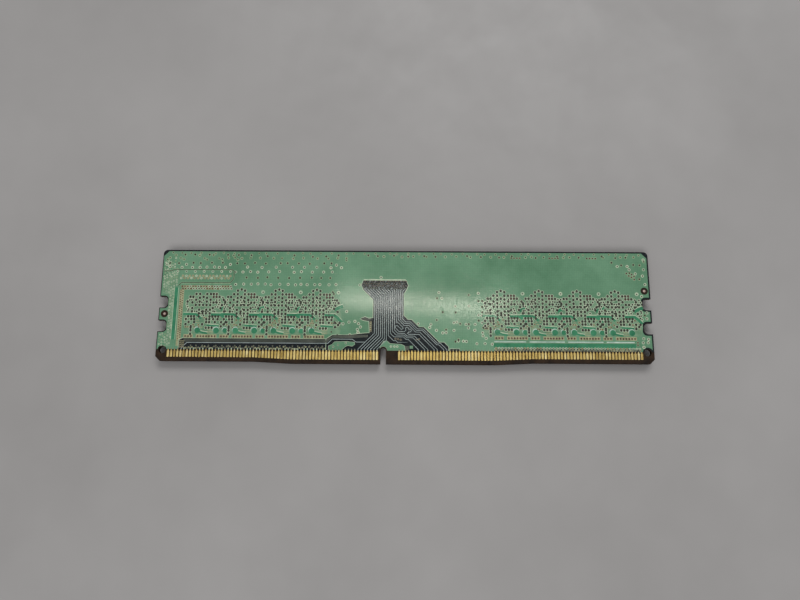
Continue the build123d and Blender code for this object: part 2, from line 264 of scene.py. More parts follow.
LAMINATE = laminate_material()
COPPER = metal_material("copper_foil", (150, 84, 54), (206, 138, 96), (0.30, 0.48))
MARK_COPPER = metal_material("bare_mark_copper", (176, 138, 122), (228, 206, 194), (0.25, 0.42), 1600, 0.6)
SOLDER = metal_material("solder", (136, 138, 140), (186, 187, 186), (0.24, 0.46), 2200)
TIN = metal_material("tin_plating", (150, 150, 148), (200, 199, 195), (0.30, 0.5), 2600)
SILICON = metal_material("silicon", (58, 60, 70), (84, 86, 98), (0.12, 0.22), 800, 0.5)
MOULD = moulded_material("black_mould_compound", (17, 17, 18), (33, 33, 35), (0.52, 0.7))
SUBSTRATE = mask_material("package_substrate", (20, 52, 34), (40, 78, 52), (0.34, 0.5), 300)
CERAMIC = moulded_material("capacitor_ceramic", (116, 84, 58), (156, 120, 88), (0.45, 0.62), 2400, 0.00001)
RESISTOR = moulded_material("resistor_overglaze", (12, 12, 14), (26, 26, 30), (0.22, 0.36), 1800, 0.000008)


# ---- Flat drawing helpers: every outline is a list of (x, height above the contact edge) in mm ----
def disc(x, height, radius, sides, stretch=1.0):
    return [
        (x + radius * math.cos(turn), height + radius * stretch * math.sin(turn))
        for turn in (2 * math.pi * (i + 0.5) / sides for i in range(sides))
    ]


def arc(x, y, radius, start, end, steps=6):
    """Points on an arc, angles in degrees, anticlockwise from start to end or back."""
    turns = [math.radians(start + (end - start) * i / steps) for i in range(steps + 1)]
    return [(x + radius * math.cos(turn), y + radius * math.sin(turn)) for turn in turns]


def mirrored(points):
    """The points on the board's other half, in the order that carries an outline on."""
    return [(-x, y) for x, y in reversed(points)]


def rectangle(x_low, height_low, x_high, height_high):
    return [(x_low, height_low), (x_high, height_low), (x_high, height_high), (x_low, height_high)]


MITRE_LIMIT = 0.3       # keeps a sharp corner's mitre from running far out


def shifted(points, distance, closed):
    """Every point of a line moved to its left by distance, with mitred corners."""
    count = len(points)
    moved = []
    for i, (x, y) in enumerate(points):
        before = points[i - 1] if closed or i > 0 else None
        after = points[(i + 1) % count] if closed or i < count - 1 else None
        normals = []
        for start, end in ((before, (x, y)), ((x, y), after)):
            if start is not None and end is not None:
                run, rise = end[0] - start[0], end[1] - start[1]
                length = math.hypot(run, rise) or 1.0
                normals.append((-rise / length, run / length))
        across = [sum(n[axis] for n in normals) / len(normals) for axis in (0, 1)]
        square = max(across[0] ** 2 + across[1] ** 2, MITRE_LIMIT)
        moved.append((x + across[0] * distance / square, y + across[1] * distance / square))
    return moved


def ribbon(points, width):
    """The outline of a line of this width."""
    return shifted(points, width / 2, False) + shifted(points, -width / 2, False)[::-1]


def turned_area(outline):
    """Twice the outline's area, positive if its points run anticlockwise."""
    return sum(a[0] * b[1] - b[0] * a[1] for a, b in zip(outline, outline[1:] + outline[:1]))


def grown(outline, distance):
    """A closed outline enlarged by distance."""
    return shifted(outline, -distance if turned_area(outline) > 0 else distance, True)


LAND_SIDES, CLEARANCE_SIDES, PLUG_SIDES = 9, 8, 6


class Sheet:
    """A plan of overlapping outlines: the first bounds the sheet, a later one covers what it lies on."""

    def __init__(self):
        self.loops = []
        self.plugs = []

    def add(self, region, outline):
        self.loops.append((region, outline if turned_area(outline) > 0 else outline[::-1]))

    def via(self, x, height, plug="plug", land=0.42, hole=0.2, rim="rim", tall=1.0, gap=0.0):
        """A filled via: its raised land or rim, a clearance of width gap, and the plug on top of all."""
        self.add(rim, disc(x, height, land, LAND_SIDES))
        if gap:
            self.plugs.append(("clearance", disc(x, height, hole + gap, CLEARANCE_SIDES, tall)))
        self.plugs.append((plug, disc(x, height, hole, PLUG_SIDES, tall)))

    def line(self, region, points, width):
        self.add(region, ribbon(points, width))

    def build(self, name, nodes, levels, base, floor, outward=1):
        """One closed mesh in place of nodes: each region at its level out from base, a bottom at floor."""
        self.loops += self.plugs
        verts, faces = [], []
        for _, outline in self.loops:
            faces.append(list(range(len(verts), len(verts) + len(outline))))
            verts.extend(Vector(point) for point in outline)
        flat, _, triangles, _, _, sources = delaunay_2d_cdt(verts, [], faces, 1, 1e-4, True)
        names = list(levels)
        mesh = bmesh.new()
        corner, heights_at, sides = {}, {}, {}

        def vertex(index, level):
            if (index, level) not in corner:
                x, y = flat[index]
                place = (x * MM, EDGE_Y + y * MM, base + outward * level * MM)
                corner[index, level] = mesh.verts.new(place)
            return corner[index, level]

        def wall(a, b, high, low, region):
            """A wall under the edge from a to b, with a corner at every level in use at its two ends."""
            near, far = (
                [vertex(i, level) for level in sorted({low, high, *heights_at[i]}) if low <= level <= high]
                for i in (a, b)
            )
            mesh.faces.new(near[::-1] + far).material_index = names.index(region)

        for triangle, covering in zip(triangles, sources):
            region = self.loops[max(covering)][0] if 0 in covering else None
            if region is None:
                continue
            level = levels[region]
            mesh.faces.new([vertex(i, level) for i in triangle]).material_index = names.index(region)
            for a, b in zip(triangle, triangle[1:] + triangle[:1]):
                sides.setdefault((min(a, b), max(a, b)), []).append((a, b, region))
                heights_at.setdefault(a, set()).add(level)
        bottom_edges = []
        for uses in sides.values():
            a, b, region = uses[0]
            if len(uses) == 1:
                wall(a, b, levels[region], floor, region)
                bottom_edges.append(mesh.edges.get((vertex(a, floor), vertex(b, floor))))
            elif levels[uses[1][2]] != levels[region]:
                low, high = sorted((region, uses[1][2]), key=levels.get)
                wall(a, b, levels[high], levels[low], high)
        bmesh.ops.triangle_fill(mesh, edges=bottom_edges, use_beauty=True, use_dissolve=False)
        stand_in(mesh, name, [MASK[region] for region in names], nodes)


def add_object(name, data):
    """A new object in the scene that shows this data."""
    made = bpy.data.objects.new(name, data)
    bpy.context.scene.collection.objects.link(made)
    return made


def mesh_object(mesh, name, materials):
    data = bpy.data.meshes.new(name)
    mesh.to_mesh(data)
    mesh.free()
    for material in materials:
        data.materials.append(material)
    return add_object(name, data)


def stand_in(mesh, name, materials, nodes):
    """Makes the mesh a piece of the object that stands in for these CAD nodes."""
    bmesh.ops.recalc_face_normals(mesh, faces=mesh.faces)
    piece = mesh_object(mesh, name, materials)
    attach(piece, "root")
    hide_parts(*nodes)


# ---- The mask's outline, its openings and its notches ----
KEY_X, KEY_RADIUS, KEY_HEIGHT = -5.575, 1.0, 4.7
MASK_EDGE = 3.65
LATCHES = ((8.5, 11.5), (15.0, 18.1))
LATCH_DEPTH, LATCH_RADIUS = 2.3, 1.2
MASK_INSET = 0.06
TOP_RADIUS = 1.2
TOOLING_X, TOOLING_HEIGHT, TOOLING_RADIUS = 65.0, 3.5, 1.02
FIDUCIALS = ((-65.1, 13.3), (65.1, 20.3))
FIDUCIAL_OPENING = 1.0


def right_end(inset):
    """The board's right end from its lower corner to the top one, with its two latch notches."""
    edge = HALF_LENGTH - inset
    floor = HALF_LENGTH - LATCH_DEPTH - inset
    points = arc(TOOLING_X, TOOLING_HEIGHT, TOOLING_RADIUS + inset, 172, 8, 8)
    points.append((edge, MASK_EDGE))
    for low, high in LATCHES:
        low, high = low - inset, high + inset
        points.append((edge, low))
        points += arc(floor + LATCH_RADIUS, low + LATCH_RADIUS, LATCH_RADIUS, 270, 180)
        points += arc(floor + LATCH_RADIUS, high - LATCH_RADIUS, LATCH_RADIUS, 180, 90)
        points.append((edge, high))
    return points + arc(edge - TOP_RADIUS, BOARD_WIDTH - inset - TOP_RADIUS, TOP_RADIUS, 0, 90)


def key_slot(inset):
    """The rounded top of the key slot, with its two ends brought down to the mask's edge."""
    first, *middle, last = arc(KEY_X, KEY_HEIGHT - KEY_RADIUS, KEY_RADIUS + inset, 180, 0, 8)
    return [(first[0], MASK_EDGE), *middle, (last[0], MASK_EDGE)]


def mask_outline():
    right = right_end(MASK_INSET)
    return mirrored(right) + key_slot(MASK_INSET) + right


POUR_TOP_INSET, POUR_RIGHT_INSET, POUR_LEFT_INSET = 0.42, 0.42, 0.22
POUR_KEY_INSET = 0.1
POUR_CORNER_CUT = 1.35


def pour_end(inset):
    """The pour's right end, drawn in from the board's edge, with its top corner cut off."""
    edge, top = HALF_LENGTH - inset, BOARD_WIDTH - POUR_TOP_INSET
    below_corner = [point for point in right_end(inset) if point[1] < LATCHES[-1][1] + 1]
    return below_corner + [(edge, top - POUR_CORNER_CUT), (edge - POUR_CORNER_CUT, top)]


def pour_outline():
    return mirrored(pour_end(POUR_LEFT_INSET)) + key_slot(POUR_KEY_INSET) + pour_end(POUR_RIGHT_INSET)


# ---- The back's copper layout: places are (x, height above the contact edge), in mm ----
CONTACT_PITCH = 0.85
SHORT_SIDE, LONG_SIDE = (-63.325, 67), (-1.275, 77)     # where each row of contacts starts, and its count
CHIP_X = [sum(corner.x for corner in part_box(f"dram_{i}_mould")) / 2 / MM for i in range(1, 9)]

# One memory package's vias: height, then places along the board from the package's middle.
PACKAGE_VIAS = (
    (20.15, (0.0,)),
    (19.8, (-1.0, 0.95)),
    (18.8, (-2.0, -1.0, 0.95, 1.95, 2.75, 3.55)),
    (18.0, (-3.6, -2.8, 0.0, 2.75, 3.55, 4.35)),
    (17.75, (-1.0, 0.95)),
    (17.2, (-2.0, 1.95, 5.55)),
    (16.7, (-4.3, -1.0, 0.95)),
    (16.45, (-2.95, 2.8, 3.65, 6.0)),
    (15.75, (-2.0, -1.0, 0.0, 0.95, 1.95, 5.15)),
    (14.9, (-2.9, 2.7, 4.8)),
    (14.45, (-1.0, 0.95, 1.95)),
    (14.0, (-2.9, 0.0, 5.85)),
    (13.45, (-1.0, 0.0, 0.95, 1.95)),
    (12.6, (-3.85, -3.05, -2.25, -1.0, 1.95, 2.75, 3.55, 4.35)),
    (11.85, (-4.4, -2.95, -2.15, 1.15, 1.95, 3.0, 4.2)),
    (11.05, (-3.6, -2.1, 1.15, 1.95, 3.5, 5.2, 6.4)),
    (10.45, (-4.4, 0.1, 6.0)),
    (9.9, (-2.95, 5.2)),
    (9.5, (-2.95, 1.15, 1.95, 2.75)),
    (8.8, (-2.95,)),
    (7.85, (-2.95,)),
)
SUPPLY_HEIGHT, SUPPLY_OFFSETS = 17.9, (2.3, 4.0)    # the brown vias of the supply group
ARCH_HEIGHT = 19.0      # the first package has no vias above this, where the termination rows are
PAD_ROW_HEIGHT, PAD_ROW_PITCH = 7.2, 0.77
PAD_ROW_GROUPS = ((0, 3), (3.35, 7))
PAD_ROW_STARTS = (CHIP_X[0] - 4.25, CHIP_X[4] - 1.45)
PAD_ROW_STEP = 9.68     # from one pad row to the next, a little less than the packages' pitch
PACKAGES_A_SIDE = 4
OVALS = ((-1.1, 0.8), (4.0, 0.82), (6.35, 0.68))    # offset and radius
OVAL_COUNTS = (3, 3, 3, 1, 3, 3, 3, 2)              # how many of them each package has
OVAL_HEIGHT = 8.8
# Heavy conductors that wind between one package's vias: their path from its middle, and their width.
FIELD_WAVES = (
    (((2.3, 13.1), (5.0, 13.1), (5.9, 12.4), (6.9, 11.3)), 0.75),
    (((-5.2, 13.25), (-1.8, 13.2), (-0.9, 12.6), (-0.3, 12.0)), 0.65),
    (((4.9, 14.5), (6.0, 15.2), (7.3, 15.7)), 0.85),
    (((1.3, 10.2), (4.6, 10.0)), 0.5),
    (((-0.6, 8.5), (0.4, 8.2), (1.7, 8.0)), 0.5),
)


def gap_to_line(x, height, points):
    """The distance from a place to a line."""
    gaps = []
    for start, end in zip(points, points[1:]):
        run, rise = end[0] - start[0], end[1] - start[1]
        share = ((x - start[0]) * run + (height - start[1]) * rise) / (run * run + rise * rise)
        share = max(0.0, min(1.0, share))
        gaps.append(math.hypot(x - start[0] - share * run, height - start[1] - share * rise))
    return min(gaps)


def field_waves(sheet, x):
    for points, width in FIELD_WAVES:
        placed = [(x + along, height) for along, height in points]
        # The rim is shifted up so that a pale strip shows only above each wave: a painted highlight on its
        # upper side.
        sheet.line("rim", [(along, height + 0.18) for along, height in placed], width + 0.12)
        sheet.line("thick", placed, width)


def package_web(sheet, x):
    """The paler copper web that the vias under one memory package stand in."""
    sheet.add("web", [
        (x - 5.0, 16.9), (x - 3.4, 18.6), (x + 4.9, 18.6), (x + 6.6, 16.9), (x + 7.0, 10.4),
        (x + 6.6, 7.9), (x - 3.4, 7.9), (x - 5.0, 9.5),
    ])


def pad_row(sheet, package):
    """The row of small pads below one package's field: three, a gap and seven more."""
    side, place = divmod(package, PACKAGES_A_SIDE)
    for offset, count in PAD_ROW_GROUPS:
        start = PAD_ROW_STARTS[side] + PAD_ROW_STEP * place + offset
        end = start + (count - 1) * PAD_ROW_PITCH
        sheet.add("pad", rectangle(start - 0.5, PAD_ROW_HEIGHT - 0.45, end + 0.5, PAD_ROW_HEIGHT + 0.55))
        for i in range(count):
            sheet.via(start + i * PAD_ROW_PITCH, PAD_ROW_HEIGHT, "brown_plug", 0.32, 0.27, "pad", 1.15)


FILL_PITCH, FILL_ROWS = 0.62, 14
FILL_LEFT, FILL_LOW = 4.4, 9.7          # the filling starts this far left of a package's middle
FILL_REACH, LAST_FILL_REACH = 5.7, 8.6  # and ends this far right of it
FILL_SPACE, WAVE_SPACE = 0.66, 0.25     # a filling via keeps this far from the listed ones and the waves
FILL_END = HALF_LENGTH - 2.8
EMPTY_SHARE, CROWDED_EMPTY_SHARE = 0.2, 0.85
PAD_SHARE = 0.4
STRIP_TOP = 12.5        # below this height the filling is beige pads, above it small dark vias


def crowd(sheet, x, reach):
    """Small vias and pads that crowd the free places of one package's field, out to reach on its right."""
    listed = [(x + offset, height) for height, offsets in PACKAGE_VIAS for offset in offsets]
    for row in range(FILL_ROWS):
        for column in range(int((FILL_LEFT + reach) / FILL_PITCH) + 1):
            offset = (column + 0.5 * (row % 2) + RANDOM.uniform(-0.15, 0.15)) * FILL_PITCH - FILL_LEFT
            along = x + offset
            height = FILL_LOW + (row + RANDOM.uniform(-0.12, 0.12)) * FILL_PITCH
            crowded = any(math.hypot(along - a, height - b) < FILL_SPACE for a, b in listed)
            waves = (gap_to_line(offset, height, points) - width / 2 for points, width in FIELD_WAVES)
            if min(waves) < WAVE_SPACE or RANDOM.random() < EMPTY_SHARE:
                continue
            if (crowded and RANDOM.random() < CROWDED_EMPTY_SHARE) or along > FILL_END:
                continue
            if height > STRIP_TOP:
                sheet.via(along, height, "plug", 0.42, 0.16, "rim", 1.1, 0.08)
            elif RANDOM.random() < PAD_SHARE:
                half = RANDOM.uniform(0.14, 0.34)
                sheet.add("pad", rectangle(along - half, height - 0.1, along + half, height + 0.1))
            else:
                sheet.via(along, height, "brown_plug", 0.32, 0.17, "pad", 1.1)


def package_field(sheet, x, arch, ovals):
    """The via field under one memory package: bare clearances, filled vias and heavy conductors."""
    crowd(sheet, x, LAST_FILL_REACH if x == CHIP_X[-1] else FILL_REACH)
    low, high = SUPPLY_OFFSETS
    for height, offsets in PACKAGE_VIAS:
        for offset in offsets if height < ARCH_HEIGHT or arch else ():
            supply = low < offset < high and height > SUPPLY_HEIGHT
            plug = "brown_plug" if supply else "plug"
            sheet.via(x + offset, height, plug, 0.5, 0.23, "rim", 1.12, 0.13)
    field_waves(sheet, x)
    for height in (9.0, 8.55, 8.1):
        sheet.line("pad", [(x + 1.6, height), (x + 3.2, height)], 0.16)
    if arch:
        sheet.via(x + 5.9, 19.4, "plug", 0.54, 0.2)
    for offset, radius in OVALS[:ovals]:
        # A paler disc shifted up and left shows above each oval: a painted highlight on its upper side.
        sheet.add("painted_highlight", disc(x + offset - 0.08, OVAL_HEIGHT + 0.2, radius + 0.06, 14))
        sheet.add("thick", disc(x + offset, OVAL_HEIGHT, radius, 14))


# Stitching vias of the pour: kind, height and places along the board.
STITCH_KINDS = {"edge": (0.36, 0.17), "ring": (0.44, 0.2), "dark": (0.44, 0.28)}
STITCH_ROWS = (
    ("edge", 30.4, (
        -64.0, -61.5, -59.0, -56.2, -52.2, -50.0, -47.0, -44.1, -40.2, -38.2, -35.1, -32.2, -28.1, -26.0,
        -23.1, -20.1, -16.0, -14.1, -11.0, -8.0, -4.0, -2.1, 1.0, 4.0, 8.0, 10.0, 13.0, 16.0, 20.0, 22.0,
        25.0, 28.0, 32.1, 34.0, 37.0, 39.9, 44.0, 46.5, 49.0, 52.0, 56.1, 58.0, 61.0, 64.2,
    )),
    ("dark", 29.85, (
        -60.6, -57.9, -53.9, -48.8, -45.8, -42.3, -30.4, -18.2, -10.0, -7.4, -2.9, 5.4, 17.2, 29.5, 41.9,
        54.1,
    )),
    ("dark", 29.55, (-37.8, -25.3, -21.6, 1.0, 8.5, 21.0, 26.0, 36.0, 47.8, 57.8, 60.6)),
    ("ring", 29.0, (
        -64.8, -61.8, -55.2, -51.2, -48.6, -46.8, -44.9, -42.4, -39.8, -36.1, -33.8, -30.7, -27.9, -24.0,
        -21.0, -18.4, -16.0,
    )),
    ("ring", 29.65, (
        -5.7, -0.7, 2.4, 6.0, 11.2, 14.2, 18.1, 23.7, 27.3, 33.2, 34.9, 38.2, 43.6, 45.3, 54.5, 59.2, 62.8,
    )),
    ("dark", 27.55, (
        -64.7, -62.2, -58.2, -56.2, -53.1, -50.1, -46.1, -44.0, -41.2, -38.2, -34.1, -32.2, -29.1, -26.1,
        -22.1, -20.1, 59.3, 62.6, 64.3,
    )),
    ("ring", 28.5, (-65.4, -60.9, -54.5, -50.3, -46.0, -16.0, 65.5)),
    ("ring", 29.75, (-63.2, -56.6, -52.8, -47.2)),
    ("ring", 27.2, (-65.5, -60.1, -48.0, -18.7, 58.2, 60.9)),
    ("ring", 26.35, (
        -64.6, -61.3, -58.4, -56.3, -54.4, -52.3, -51.0, -49.3, -43.2, -39.2, -35.3, -30.8, -27.5, -24.1,
        -20.2, -17.3, 61.4, 65.3,
    )),
    ("ring", 25.1, (-46.4, -44.4, -42.3, -40.3, -37.3, -34.3, -30.3, -28.3, -25.3, -22.2, -19.8, 63.0)),
    ("dark", 23.5, (-43.3, -40.2, -37.6, -34.6, -31.6, -28.6, -25.4, -22.8, -20.3, 64.0)),
    ("ring", 21.6, (
        -46.2, -44.0, -41.9, -40.1, -38.1, -36.5, -34.1, -31.8, -29.8, -28.3, -26.6, -24.5, -23.1, -20.6,
        -18.7, -12.2,
    )),
    ("dark", 18.9, (-20.3, -19.2, 17.5)),
    ("dark", 17.2, (-20.3, -18.9, 20.1, 21.1)),
    ("dark", 15.7, (-20.3, 21.1)),
    ("dark", 14.1, (-18.2, 10.4, 13.9, 21.1)),
    ("dark", 11.9, (8.8, 20.1, 21.8)),
    ("dark", 11.0, (15.1, 17.4)),
    ("dark", 10.0, (21.3, 22.2)),
    ("ring", 19.5, (9.4, 20.1)),
    ("ring", 15.8, (-18.9, 13.8, 17.5)),
    ("ring", 13.3, (-20.4, -18.8, 20.1, 21.0)),
    ("ring", 11.4, (-18.8, -14.9, -13.3, 13.4, 14.2, 21.0)),
    ("ring", 10.9, (-19.1, -16.5, -12.3, 3.8, 7.2, 16.7, 19.1)),
    ("ring", 9.9, (-18.4, -11.8, 6.9, 17.3)),
    ("ring", 9.2, (-12.6, 8.7, 13.4, 19.0)),
    ("ring", 8.6, (-19.6, -12.4, 10.4, 11.3, 21.1)),
    ("ring", 7.9, (-18.0, -14.6, 21.2)),
    ("ring", 6.3, (14.6, 15.9, 16.7, 63.9, 65.2)),
    ("ring", 5.6, (19.5, 21.7, 23.6)),
    ("ring", 7.2, (22.0, 64.1, 65.4)),
)
EXTRA_VIAS = (
    ("dark", -19.5, 19.5), ("ring", -15.6, 14.2), ("ring", -6.4, 23.7), ("dark", 8.9, 18.0),
    ("ring", 10.2, 18.0), ("dark", 11.3, 9.4), ("dark", 14.6, 6.7), ("dark", 13.8, 6.2),
    ("dark", 56.7, 28.2), ("ring", 65.4, 29.0), ("ring", 64.9, 24.5), ("ring", 65.4, 22.1),
    ("ring", 64.3, 18.8), ("ring", 64.0, 5.0), ("dark", 64.8, 13.6), ("ring", 65.4, 14.3),
    ("ring", 64.0, 14.2), ("ring", 65.3, 12.7), ("ring", 64.0, 12.5),
)
STITCH_JITTER, STITCH_TOP = 0.12, BOARD_WIDTH - 0.8
FLAT_RIM_HEIGHT = 28    # the vias above this have low lands, not raised rims
SUPPLY_GROUPS_X = (29.3, 39.75, 50.0)
SUPPLY_CLUSTER = (
    (60.6, 25.2), (61.4, 25.3), (62.0, 24.9), (61.2, 24.5), (61.9, 24.1), (62.6, 24.4), (62.6, 23.5),
)


def stitching(sheet):
    """Rows and loose vias that tie the pour to the inner planes."""
    for kind, height, places in STITCH_ROWS:
        land, hole = STITCH_KINDS[kind]
        for x in places:
            rise = min(height + RANDOM.uniform(-STITCH_JITTER, STITCH_JITTER), STITCH_TOP)
            plug = "plug" if kind == "dark" else RANDOM.choice(("plug", "brown_plug"))
            rim = "land" if kind == "dark" or height > FLAT_RIM_HEIGHT else "rim"
            sheet.via(x, rise, plug, land, hole, rim, 1.1)
    for kind, x, height in EXTRA_VIAS:
        land, hole = STITCH_KINDS[kind]
        sheet.via(x, height, "plug", land, hole, "land" if kind == "dark" else "rim", 1.1)
    for x in SUPPLY_GROUPS_X:
        for i in range(4):
            sheet.via(x + i * 0.78, 29.35, "brown_plug", 0.36, 0.26, "land")
    for x, height in SUPPLY_CLUSTER:
        sheet.via(x, height, "brown_plug", 0.4, 0.26, "land")


def bare_area(sheet, outline):
    """Laminate under the mask, with the pale lip of the copper around it; the lip's paleness is partly the
    thin mask over the copper edge and partly a painted highlight.
    """
    sheet.add("rim", grown(outline, 0.14))
    sheet.add("bare", outline)


def termination_island(sheet):
    """The narrow gap around the termination supply's copper, and its rows of vias."""
    gap = [
        (-66.3, 25.2), (-64.0, 25.25), (-63.4, 25.62), (-47.4, 25.66), (-46.8, 25.2), (-46.8, 23.1),
        (-47.7, 22.0), (-61.0, 22.0), (-61.9, 21.2),
    ]
    sheet.line("land", gap, 0.34)
    sheet.line("bare", gap, 0.16)
    sheet.line("land", [(-61.2, 21.75), (-47.6, 21.75)], 0.12)
    for i in range(30):
        land = "pad" if i % 3 else "rim"
        sheet.via(-61.3 + i * 0.465, 23.25 + 0.62 * (i % 2), "brown_plug", 0.36, 0.12, land)
    for i in range(7):
        sheet.via(-62.4 + i * 2.43, 25.1, "plug", 0.4, 0.17)
    for i in range(19):
        for shift, height in ((0.2, 20.3), (0, 20.95)):
            land = RANDOM.choice(("pad", "rim"))
            sheet.via(-60.8 + i * 0.74 + shift, height, "brown_plug", 0.38, 0.23, land)


def left_margin(sheet):
    """The dense via columns and the wide unbroken conductor beside the first package."""
    sheet.add("web", [
        (-64.3, 4.4), (-62.9, 4.4), (-62.9, 21.0), (-62.0, 22.2), (-62.0, 24.6), (-66.1, 24.8),
        (-66.1, 19.0), (-64.3, 18.6),
    ])
    sheet.add("rim", rectangle(-62.95, 6.3, -61.7, 20.6))
    sheet.add("thick", rectangle(-62.8, 6.3, -61.85, 20.6))
    sheet.add("pad", rectangle(-61.4, 4.6, -60.2, 20.1))
    for i in range(22):
        for x, shift in ((-61.05, 0), (-60.5, 0.3)):
            sheet.via(x, 6.6 + i * 0.63 + shift, "brown_plug", 0.25, 0.17, "pad")
    columns = (
        (-63.85, 5.0, 30), (-63.2, 5.4, 31), (-64.5, 19.2, 12), (-65.2, 4.8, 5), (-65.1, 19.5, 12),
        (-65.8, 19.9, 11), (-65.9, 5.1, 4), (-62.4, 21.3, 7), (-64.5, 4.6, 5),
    )
    for x, low, count in columns:
        for i in range(count):
            shift = RANDOM.uniform(-STITCH_JITTER, STITCH_JITTER)
            land = RANDOM.choice(("rim", "rim", "land"))
            plug = RANDOM.choice(("plug", "clearance"))
            sheet.via(x + shift, low + i * 0.78 + shift, plug, 0.26, 0.1, land)


# ---- The lines from the contacts beside the key up to the dense via block ----
LANE_PITCH = 0.54
FIRST_LANE_X = -8.0
BLOCK_LEFT, BLOCK_LOW, BLOCK_PITCH = -10.9, 20.5, 0.79
LINE_WIDTH, WIDE_LINE = 0.135, 0.16
LEFT_LANES = 7
FIRST_LEFT_CONTACT = 60
LANES_DOWN = 4.0    # below this height a lane runs straight down to its contact
# Lanes that turn right: the contact each one ends at, then its corners after the straight run down.
RIGHT_LANES = (
    (5, ((-4.22, 7.7), (-2.85, 6.33), (-2.2, 6.33), (-1.75, 5.9), (1.8, 5.9))),
    (6, ((-3.68, 8.3), (-2.75, 7.37), (-0.15, 7.37), (0.52, 6.7))),
    (8, ((-3.14, 8.9), (-2.1, 7.86), (0.0, 7.86), (0.7, 7.15))),
    (9, ((-2.6, 9.2), (-1.7, 8.3), (0.1, 8.3), (0.8, 7.6))),
    (11, (
        (-2.06, 11.3), (-1.6, 11.2), (-0.4, 10.0), (-0.3, 9.6), (-0.75, 9.4), (-1.95, 10.5),
        (-2.35, 10.35), (-2.4, 9.9), (-1.35, 8.8), (0.1, 8.8), (0.5, 9.2), (0.35, 9.7), (0.65, 10.05),
        (1.05, 9.9), (1.25, 9.45), (1.75, 9.5), (2.0, 9.1), (1.65, 8.75), (1.2, 8.7), (0.95, 8.35),
        (1.25, 8.05),
    )),
    (12, ((-1.52, 12.0), (0.0, 10.48), (1.3, 10.48), (3.08, 8.7))),
    (14, ((-0.98, 12.1), (0.12, 11.0), (1.5, 11.0), (3.35, 9.15), (4.9, 9.15), (8.75, 5.3))),
    (15, ((-0.44, 12.3), (0.41, 11.45), (1.7, 11.45), (3.6, 9.55), (5.1, 9.55), (8.9, 5.75))),
)


def contact_x(row, index):
    return row[0] + index * CONTACT_PITCH


def lane_lines():
    """The whole path of every lane, from the via block to its contact."""
    for lane in range(LEFT_LANES + len(RIGHT_LANES)):
        x = FIRST_LANE_X + LANE_PITCH * lane
        top = BLOCK_LEFT + BLOCK_PITCH * lane
        path = [(top, BLOCK_LOW), (x, BLOCK_LOW - abs(x - top))]
        if lane < LEFT_LANES:
            contact = contact_x(SHORT_SIDE, FIRST_LEFT_CONTACT + lane)
            path.append((x, LANES_DOWN + x - contact))
        else:
            index, corners = RIGHT_LANES[lane - LEFT_LANES]
            contact = contact_x(LONG_SIDE, index)
            path += corners
            shelf = corners[-1][1]
            path.append((contact - (shelf - LANES_DOWN), shelf))
        yield path + [(contact, LANES_DOWN), (contact, MASK_EDGE)]


def centre_outline():
    """The bare area round the lanes, the via block above them and the strips beside the key."""
    return [
        (-20.9, MASK_EDGE), (11.9, MASK_EDGE), (11.9, 4.75), (10.7, 5.95), (9.4, 5.95), (5.3, 10.05),
        (4.0, 10.05), (2.05, 12.0), (1.0, 12.05), (-0.15, 13.2), (-0.15, 19.2), (0.5, 20.2), (1.0, 21.5),
        (0.5, 22.85), (-11.2, 22.85), (-11.7, 21.6), (-11.2, 20.3), (-8.4, 17.5), (-8.4, 12.5), (-9.5, 12.3),
        (-10.6, 12.75), (-11.9, 12.2), (-10.9, 11.8), (-9.5, 11.6), (-9.3, 8.4), (-12.2, 8.15),
        (-14.2, 7.85), (-19.3, 7.75), (-20.9, 6.68),
    ]


def via_block(sheet):
    """Four close rows of vias at the head of the lanes."""
    for row in range(4):
        for i in range(17):
            x = -11.1 + 0.7 * i + (0.35 if row % 2 else 0.0)
            land = RANDOM.choice(("band", "stub", "stub", "track"))
            plug = "clearance" if row == 0 else RANDOM.choice(("brown_plug", "plug"))
            sheet.via(x, 20.75 + 0.62 * row, plug, 0.23, 0.18, land)
    sheet.add("rim", rectangle(-11.1, 22.95, 0.4, 23.2))


def key_islands(sheet):
    """The small islands of pour on both sides of the key slot, with their vias and stubs."""
    island = [
        (-6.3, 4.85), (-5.4, 6.15), (-4.6, 6.2), (-3.8, 5.5), (-0.7, 5.3), (0.1, 4.9), (0.3, 3.66),
        (-4.6, 3.66),
    ]
    island += arc(KEY_X, KEY_HEIGHT - KEY_RADIUS, KEY_RADIUS + 0.12, 10, 150, 6)
    sheet.add("rim", grown(island, 0.1))
    sheet.add("pour", island)
    for x in (-3.5, -2.6, -1.8):
        sheet.via(x, 4.75, "plug", 0.34, 0.1)
    sheet.add("band", rectangle(0.35, 3.8, 1.3, 4.9))
    sheet.add("web", rectangle(1.5, 4.2, 2.4, 5.0))
    left = [
        (-20.2, 3.66), (-16.8, 3.66), (-16.0, 4.5), (-15.2, 5.0), (-13.9, 4.8), (-13.2, 5.3), (-13.3, 5.8),
        (-15.4, 6.0), (-18.6, 5.9), (-19.4, 5.1), (-20.2, 4.8),
    ]
    sheet.add("rim", grown(left, 0.08))
    sheet.add("pour", left)
    for x, height in ((-15.6, 5.6), (-17.7, 5.1), (-19.0, 4.6)):
        sheet.via(x, height, "plug", 0.3, 0.2)
    for x, height in ((-2.3, 6.85), (-1.6, 6.75), (-0.9, 6.6), (3.3, 6.55), (4.0, 6.75)):
        sheet.via(x, height, "brown_plug", 0.3, 0.19, "stub")


